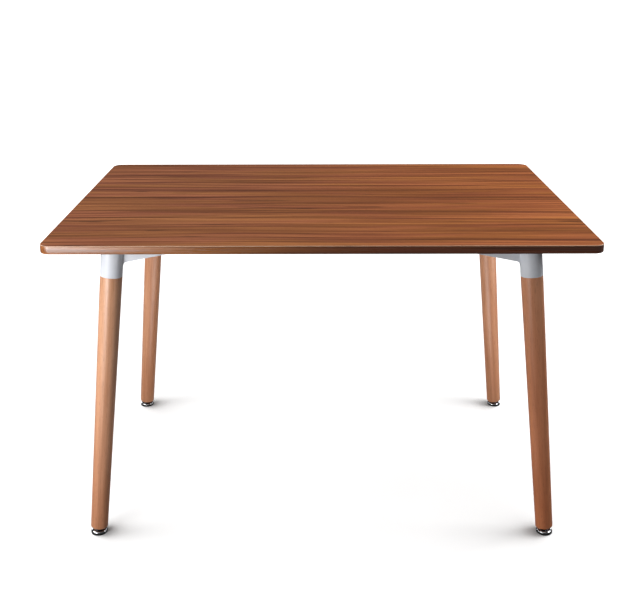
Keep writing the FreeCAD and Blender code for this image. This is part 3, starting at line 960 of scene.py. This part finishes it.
@dataclass
class TurnedLeg:
    """A turned beech leg: a tapered shaft with a rounded lower end and a spigot at its top.

    Each corner's painted shade at the leg's foot and at its top, from pale (0) to deep (1): a tint in the
    wood's colour that paints how the light falls on each leg, paler where it is lit and deeper where it
    lies in shade.
    """

    GRAIN: ClassVar[str] = "grain_point"
    PAINTED_SHADE: ClassVar[str] = "painted_shade"
    PAINTED_SHADES: ClassVar[dict[Corner, tuple[float, float]]] = {
        Corner.FRONT_LEFT: (0.48, 0.0),
        Corner.FRONT_RIGHT: (1.0, 0.55),
        Corner.BACK_LEFT: (0.40, 0.30),
        Corner.BACK_RIGHT: (0.50, 0.40),
    }

    axis: LegAxis
    foot_height: float = 16 * MM
    socket_length: float = 84 * MM
    shoulder_radius: float = 25 * MM
    end_radius: float = 20 * MM
    end_round: float = 1.5 * MM
    end_steps: int = 6
    lip: float = 0.5 * MM
    lip_inset: float = 0.35 * MM
    spigot_radius: float = 21.3 * MM
    spigot_length: float = 53 * MM
    recess_radius: float = 12.05 * MM
    recess_depth: float = 2.0 * MM
    rings: int = 14
    grain_start: float = 0.4
    grain_turn: float = 1.9
    grain_shift: Place = (0.11, 0.07, 0.93)

    def build(self, finishes: Finishes) -> None:
        """Turns the leg, leans it onto its axis and dresses it."""
        corner = self.axis.corner
        piece = turned(f"leg_{corner.word}_beech", self.profile())
        self.carry_grain(piece)
        settle(piece, self.axis.placed(self.foot_height))
        smooth(piece, Crease.LEG)
        dress(piece, finishes.beech)
        seat(piece, f"leg_{corner.word}", "table")

    def profile(self) -> Profile:
        """The leg's outline from the recess in its lower end up to its spigot."""
        shoulder = self.axis.length_between(self.foot_height, self.axis.underside) - self.socket_length
        start = (self.end_radius - self.end_round, 0.0)
        points = [(self.recess_radius, self.recess_depth), (self.recess_radius, 0.0), start]
        points += rounded_step(start, (self.end_radius, self.end_round), self.end_steps)
        shaft = shoulder - self.lip - self.end_round
        for i in range(1, self.rings + 1):
            share = i / self.rings
            radius = self.end_radius + (self.shoulder_radius - self.end_radius) * share
            points.append((radius, self.end_round + shaft * share))
        points.append((self.shoulder_radius - self.lip_inset, shoulder))
        points.append((self.spigot_radius, shoulder))
        points.append((self.spigot_radius, shoulder + self.spigot_length))
        return points

    def carry_grain(self, piece: bpy.types.Object) -> None:
        """Keeps each point's place on the upright leg, turned and shifted so that no two legs match.

        The painted shade is kept too: it runs from the one at the leg's foot to the one at its top.
        """
        number = self.axis.corner.number
        spin = Matrix.Rotation(self.grain_turn * number + self.grain_start, 4, "Z")
        shift = Vector(self.grain_shift) * (number + 1)
        pick(piece)
        bpy.ops.object.transform_apply(location=True, rotation=True, scale=True)
        grain = piece.data.attributes.new(self.GRAIN, "FLOAT_VECTOR", "POINT")
        tone = piece.data.attributes.new(self.PAINTED_SHADE, "FLOAT_VECTOR", "POINT")
        foot_painted_shade, top_painted_shade = self.PAINTED_SHADES[self.axis.corner]
        height = max(vertex.co.z for vertex in piece.data.vertices)
        for vertex, place, shade in zip(piece.data.vertices, grain.data, tone.data):
            place.vector = spin @ vertex.co + shift
            depth = foot_painted_shade + (top_painted_shade - foot_painted_shade) * vertex.co.z / height
            shade.vector = (depth, depth, depth)


@dataclass
class CornerBracket:
    """A cast bracket with its screws: the socket, two arms, and a pair of screws at each arm's end."""

    axis: LegAxis
    edge_round: float = 0.6 * MM
    edge_steps: int = 3
    flange_thickness: float = 5 * MM
    reach_long: float = 185 * MM
    reach_cross: float = 150 * MM
    screw_end_distance: float = 14 * MM
    screw_side_offset: float = 13 * MM
    head_radius: float = 4.75 * MM
    head_height: float = 3.2 * MM
    head_crown: float = 2.2 * MM
    head_rim: float = 0.5 * MM
    head_steps: int = 6
    shank_radius: float = 2.5 * MM
    shank_length: float = 17 * MM
    key_flats: float = 3.0 * MM
    key_depth: float = 1.8 * MM
    screw_sides: int = 40

    def build(self, finishes: Finishes) -> None:
        """Softens the casting's edges, adds its screws and dresses both."""
        word = self.axis.corner.word
        name = f"bracket_{word}_cast"
        casting = softened_copy(f"bracket_{word}", name, self.edge_round, self.edge_steps)
        dress(casting, finishes.coat)
        seat(casting, f"bracket_{word}", "table")
        screws = self.build_screws()
        dress(screws, finishes.steel)
        seat(screws, f"bracket_screws_{word}", "table")
        for hidden in ("top_inserts", "leg_bolt", "leg_washer", "leg_insert", "foot_insert"):
            dress(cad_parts[f"{hidden}_{word}"], finishes.steel)

    def screw_places(self) -> list[Vector]:
        """Where each screw's head meets the flange."""
        root = self.axis.at_height(self.axis.underside)
        side_x, side_y = self.axis.corner.side
        bearing = self.axis.underside - self.flange_thickness
        places = []
        for hand in (-1, 1):
            sideways = hand * self.screw_side_offset
            inward = self.reach_long - self.screw_end_distance
            places.append(Vector((root.x - side_x * inward, root.y + sideways, bearing)))
            inward = self.reach_cross - self.screw_end_distance
            places.append(Vector((root.x + sideways, root.y - side_y * inward, bearing)))
        return places

    def build_screws(self) -> bpy.types.Object:
        """One button-head screw with a hexagon socket, and its copies, as one piece.

        Returns:
            The bracket's screws.
        """
        word = self.axis.corner.word
        first = self.build_screw(f"bracket_screws_{word}_button")
        copies = []
        for place in self.screw_places():
            copy = bpy.data.objects.new(first.name + "_copy", first.data.copy())
            bpy.context.scene.collection.objects.link(copy)
            settle(copy, Matrix.Translation(place))
            copies.append(copy)
        deselect()
        for copy in copies:
            copy.select_set(True)
        bpy.context.view_layer.objects.active = copies[0]
        bpy.ops.object.join()
        bpy.data.objects.remove(first)
        group = bpy.context.view_layer.objects.active
        group.name = f"bracket_screws_{word}_button"
        smooth(group, Crease.SCREW)
        return group

    def build_screw(self, name: str) -> bpy.types.Object:
        """The pattern screw, head down, with its bearing face at the origin."""
        crown = (self.head_crown, -self.head_height)
        rim = (self.head_radius, -self.head_rim)
        profile = [crown, *rounded_step(crown, rim, self.head_steps), (self.head_radius, 0.0)]
        profile += [(self.shank_radius, 0.0), (self.shank_radius, self.shank_length)]
        screw = turned(name, profile, sides=self.screw_sides)
        settle(screw, Matrix.Identity(4))
        deselect()
        key_radius = self.key_flats / 2 / math.cos(math.pi / 6)
        bpy.ops.mesh.primitive_cylinder_add(
            vertices=6, radius=key_radius, depth=2 * self.key_depth, location=(0, 0, -self.head_height)
        )
        key = bpy.context.object
        pick(screw)
        recess = screw.modifiers.new("recess", "BOOLEAN")
        recess.operation = "DIFFERENCE"
        recess.object = key
        bpy.ops.object.modifier_apply(modifier=recess.name)
        bpy.data.objects.remove(key)
        return screw


@dataclass
class LevellingFoot:
    """A levelling foot: a stem with a hexagon collar, a domed chrome cap and a black pad.

    The middle of the pad's upper rim and the ease of the cap's neck are each a width and a drop.
    """

    axis: LegAxis
    ball_height: float = 5.8 * MM
    pad_radius: float = 19 * MM
    pad_height: float = 5 * MM
    pad_base_inset: float = 1.2 * MM
    pad_base_rise: float = 1.0 * MM
    pad_base_steps: int = 4
    pad_rim_inset: float = 0.9 * MM
    pad_rim_drop: float = 0.8 * MM
    pad_rim_middle: tuple[float, float] = (0.3 * MM, 0.25 * MM)
    hollow_radius: float = 4.15 * MM
    hollow_end: float = math.radians(7)
    hollow_steps: int = 6
    cap_radius: float = 18 * MM
    cap_top: float = 9.5 * MM
    cap_crown: float = 8 * MM
    cap_rim: float = 0.5 * MM
    cap_rim_inset: float = 0.3 * MM
    cap_steps: int = 10
    cap_mouth: float = 4.3 * MM
    neck_hole: float = 3.6 * MM
    neck_depth: float = 2.6 * MM
    neck_ease: tuple[float, float] = (0.5 * MM, 0.4 * MM)
    stem_edge: float = 0.4 * MM
    stem_steps: int = 2
    sides: int = 72

    def build(self, finishes: Finishes) -> None:
        """Models the stem, the cap and the pad, each on the body that carries it."""
        word = self.axis.corner.word
        name = f"foot_stem_{word}_hex"
        stem = softened_copy(f"foot_stem_{word}", name, self.stem_edge, self.stem_steps)
        dress(stem, finishes.dark_steel)
        seat(stem, f"foot_stem_{word}", f"stem_{word}")
        centre = self.axis.at_height(self.ball_height)
        stand = Matrix.Translation(Vector((centre.x, centre.y, 0)))
        cap = turned(f"foot_cap_{word}_dome", self.cap_profile(), closed_ring=True, sides=self.sides)
        settle(cap, stand)
        smooth(cap, Crease.FOOT)
        dress(cap, finishes.chrome)
        seat(cap, f"foot_cap_{word}", f"foot_{word}")
        pad = turned(f"foot_pad_{word}_base", self.pad_profile(), sides=self.sides)
        settle(pad, stand)
        smooth(pad, Crease.FOOT)
        dress(pad, finishes.rubber)
        seat(pad, f"foot_pad_{word}", f"foot_{word}")

    def cap_profile(self) -> Profile:
        """The dome's section, as a ring: up the outside, over the crown, down the neck hole and back."""
        low = self.pad_height
        crown = (self.cap_crown, self.cap_top)
        rim = (self.cap_radius, low + self.cap_rim)
        dome = [crown, *rounded_step(crown, rim, self.cap_steps)]
        points = [(self.cap_radius - self.cap_rim_inset, low), *reversed(dome)]
        ease_width, ease_drop = self.neck_ease
        points.append((self.neck_hole + ease_width, self.cap_top))
        points.append((self.neck_hole, self.cap_top - ease_drop))
        points.append((self.neck_hole, self.cap_top - self.neck_depth))
        points += [(self.cap_mouth, low), points[0]]
        return points

    def pad_profile(self) -> Profile:
        """The pad's section: its base, its rounded rim, its top and the hollow for the ball."""
        radius, height = self.pad_radius, self.pad_height
        start = (radius - self.pad_base_inset, 0.0)
        points = [start, *rounded_step(start, (radius, self.pad_base_rise), self.pad_base_steps)]
        middle_inset, middle_drop = self.pad_rim_middle
        points.append((radius, height - self.pad_rim_drop))
        points.append((radius - middle_inset, height - middle_drop))
        points.append((radius - self.pad_rim_inset, height))
        mouth = math.acos((self.ball_height - height) / self.hollow_radius)
        for i in range(self.hollow_steps + 1):
            turn = mouth + (self.hollow_end - mouth) * i / self.hollow_steps
            depth = self.hollow_radius * math.cos(turn)
            points.append((self.hollow_radius * math.sin(turn), self.ball_height - depth))
        return points


# Studio


def hang(light: bpy.types.Light, place: Place, target: Place) -> None:
    """Puts a light in the scene, pointing at a target.

    Args:
        light: the light.
        place: where it hangs.
        target: what it points at.
    """
    lamp = bpy.data.objects.new(light.name, light)
    lamp.location = place
    lamp.rotation_mode = "QUATERNION"
    lamp.rotation_quaternion = (Vector(target) - Vector(place)).to_track_quat("-Z", "Y")
    lamp.visible_camera = False
    bpy.context.scene.collection.objects.link(lamp)


@dataclass(frozen=True)
class SoftBox:
    """A rectangular soft light: its size, power, place, what it faces and how wide it throws."""

    name: str
    size: tuple[float, float]
    watts: float
    place: Place
    target: Place
    throw: float = 180.0

    def build(self) -> None:
        """Adds the light."""
        light = bpy.data.lights.new(self.name, "AREA")
        light.shape = "RECTANGLE"
        light.size, light.size_y = self.size
        light.energy = self.watts
        light.spread = math.radians(self.throw)
        hang(light, self.place, self.target)


SOFT_BOXES = (
    SoftBox(
        "key_front_left", size=(1.2, 1.2), watts=13.0,
        place=(-1.9, -1.8, 1.0), target=(-0.3, -0.2, 0.5),
    ),
    SoftBox(
        "box_left", size=(0.9, 0.9), watts=18.0,
        place=(-1.9, -0.2, 1.55), target=(-0.3, 0.0, 0.3),
    ),
    SoftBox(
        "box_right", size=(0.9, 0.9), watts=25.0,
        place=(1.9, 0.0, 1.55), target=(0.3, -0.1, 0.3),
    ),
    SoftBox(
        "card_near_left", size=(0.6, 0.6), watts=3.0,
        place=(-1.15, -1.3, 0.75), target=(-0.45, -0.38, 0.68), throw=90.0,
    ),
    SoftBox(
        "card_low_left", size=(0.8, 0.5), watts=9.5,
        place=(-1.25, -2.0, 0.2), target=(-0.5, -0.4, 0.70),
    ),
    SoftBox(
        "card_back_right", size=(0.5, 0.5), watts=2.4,
        place=(1.3, 0.0, 0.45), target=(0.70, 0.80, 0.40), throw=120.0,
    ),
    SoftBox(
        "floor_bounce", size=(0.9, 0.3), watts=1.8,
        place=(0.0, -0.25, 0.02), target=(0.0, 0.45, 0.70), throw=130.0,
    ),
    SoftBox(
        "fill_back_left", size=(1.0, 0.5), watts=4.5,
        place=(-2.0, 1.9, 0.42), target=(-0.2, 0.2, 0.45), throw=110.0,
    ),
    SoftBox(
        "fill_back_right", size=(1.0, 0.5), watts=4.5,
        place=(2.0, 1.9, 0.42), target=(0.2, 0.2, 0.45), throw=110.0,
    ),
)


@dataclass
class Studio:
    """The pale floor, the white dome round it, the soft lights and the camera.

    The camera's place, its turn, its focal length and its axis come from a fit to the photograph.
    """

    eye: Place = (-0.01092, -2.26046, 1.32545)
    turn: Place = (0.2925, 0.0045, -0.0023)
    focal_px: float = 927.866
    axis_above_centre_px: float = 64.37
    picture_width_px: float = 624.0
    sensor: float = 36.0
    clip_end: float = 200.0
    floor_size: float = 100.0
    floor_grey: Colour = srgb(206, 206, 206)
    tooth_grey: Colour = srgb(202, 202, 202)
    shade_grey: Colour = srgb(40, 40, 40)
    floor_glow: float = 0.94
    far_glow: float = 1.4
    near_floor: float = 0.8
    far_floor: float = 2.6
    foot_shade_reach: float = 260 * MM
    foot_shade_range: Span = (0.60, 0.97)
    foot_shade_samples: int = 12
    light_height: float = 0.7
    side_turn: float = 0.3
    dome_radius: float = 60.0
    dome_white: Colour = srgb(255, 255, 255)
    surround_strength: float = 0.12
    overhead_strength: float = 1.35
    overhead_angle: float = 60.0
    overhead_place: Place = (-0.4, 0.3, 3.0)
    overhead_target: Place = (0.0, 0.0, 0.4)

    def build(self) -> None:
        """Sets up the floor, the dome, the lights and the camera."""
        self.build_floor()
        self.build_dome()
        self.build_lights()
        self.build_camera()

    def build_floor(self) -> None:
        """A wide white floor that glows faintly, as a lit backdrop does, and is clear from below."""
        deselect()
        bpy.ops.mesh.primitive_plane_add(size=self.floor_size, location=(0, 0, 0))
        floor = bpy.context.object
        floor.name = "studio_floor"
        dress(floor, self.floor_material())
        floor.visible_diffuse = False
        floor.visible_glossy = False

    def floor_material(self) -> bpy.types.Material:
        """White that is brighter away from the table, with a shade on the inner side of each foot.

        Returns:
            The floor's material.
        """
        tree = MaterialTree("studio_white")
        x, y, z = tree.place()
        tooth = tree.noise(tree.joined(x, y, z), scale=3.0, detail=2.0)
        colour = tree.mix(tooth, self.floor_grey, self.tooth_grey)
        further_out = (x * x + y * y).eased(self.near_floor**2, self.far_floor**2)
        glow = tree.mix(further_out, colour, (self.far_glow, self.far_glow, self.far_glow, 1.0))
        side = x.eased(-self.side_turn, self.side_turn) * 2.0 - 1.0
        outward = tree.joined(side, 0.0, self.light_height)
        to_light = tree.node("ShaderNodeVectorMath", {"operation": "NORMALIZE"}, {0: outward})
        reach = {"Distance": self.foot_shade_reach, "Normal": to_light.outputs[0]}
        shading = tree.node("ShaderNodeAmbientOcclusion", {"samples": self.foot_shade_samples}, reach)
        open_sky = Value(tree, shading.outputs["AO"])
        glow = tree.mix(open_sky.eased(*self.foot_shade_range), self.shade_grey, glow)
        from_below = Value(tree, tree.node("ShaderNodeNewGeometry", {}, {}).outputs["Backfacing"])
        varying = {"Base Color": colour, "Emission Color": glow, "Alpha": 1 - from_below}
        fixed = {"Roughness": 0.9, "Specular IOR Level": 0.0, "Emission Strength": self.floor_glow}
        return tree.finish(varying, fixed)

    def build_dome(self) -> None:
        """A white dome that only the camera sees, so that every view has the same plain backdrop."""
        deselect()
        bpy.ops.mesh.primitive_uv_sphere_add(segments=64, ring_count=32, radius=self.dome_radius)
        dome = bpy.context.object
        dome.name = "studio_dome"
        tree = MaterialTree("dome_white")
        fixed = {
            "Base Color": self.dome_white,
            "Emission Color": self.dome_white,
            "Emission Strength": 1.0,
        }
        dress(dome, tree.finish({}, fixed))
        dome.visible_diffuse = False
        dome.visible_glossy = False
        dome.visible_transmission = False
        dome.visible_shadow = False

    def build_lights(self) -> None:
        """A dim surround, a soft overhead light and the soft boxes."""
        world = bpy.data.worlds.new("studio_surround")
        world.use_nodes = True
        surround = world.node_tree.nodes["Background"]
        surround.inputs["Color"].default_value = (1.0, 1.0, 1.0, 1.0)
        surround.inputs["Strength"].default_value = self.surround_strength
        bpy.context.scene.world = world
        overhead = bpy.data.lights.new("overhead", "SUN")
        overhead.energy = self.overhead_strength
        overhead.angle = math.radians(self.overhead_angle)
        hang(overhead, self.overhead_place, self.overhead_target)
        for box in SOFT_BOXES:
            box.build()

    def build_camera(self) -> None:
        """The camera, where the photograph's own camera stood."""
        level = Matrix(((1, 0, 0), (0, 0, -1), (0, 1, 0)))
        turn = Vector(self.turn)
        view = Matrix.Rotation(turn.length, 3, turn.normalized()) @ level
        right, down, forward = view[0], view[1], view[2]
        axes = Matrix((right, -down, -forward)).transposed()
        camera = bpy.data.cameras.new("photo_camera")
        camera.sensor_fit = "HORIZONTAL"
        camera.sensor_width = self.sensor
        camera.lens = self.focal_px / self.picture_width_px * self.sensor
        camera.shift_y = -self.axis_above_centre_px / self.picture_width_px
        camera.clip_end = self.clip_end
        holder = bpy.data.objects.new("photo_camera", camera)
        holder.matrix_world = Matrix.Translation(Vector(self.eye)) @ axes.to_4x4()
        bpy.context.scene.collection.objects.link(holder)
        bpy.context.scene.camera = holder


def main() -> None:
    """Builds the table piece by piece, then the studio round it."""
    logging.basicConfig(level=logging.INFO, format="%(name)s: %(message)s")
    bpy.context.scene.view_settings.view_transform = "Standard"
    finishes = Finishes()
    TableTop().build(finishes)
    for corner in Corner:
        axis = LegAxis(corner)
        CornerBracket(axis).build(finishes)
        TurnedLeg(axis).build(finishes)
        LevellingFoot(axis).build(finishes)
    Studio().build()


if __name__ == "__main__":
    main()
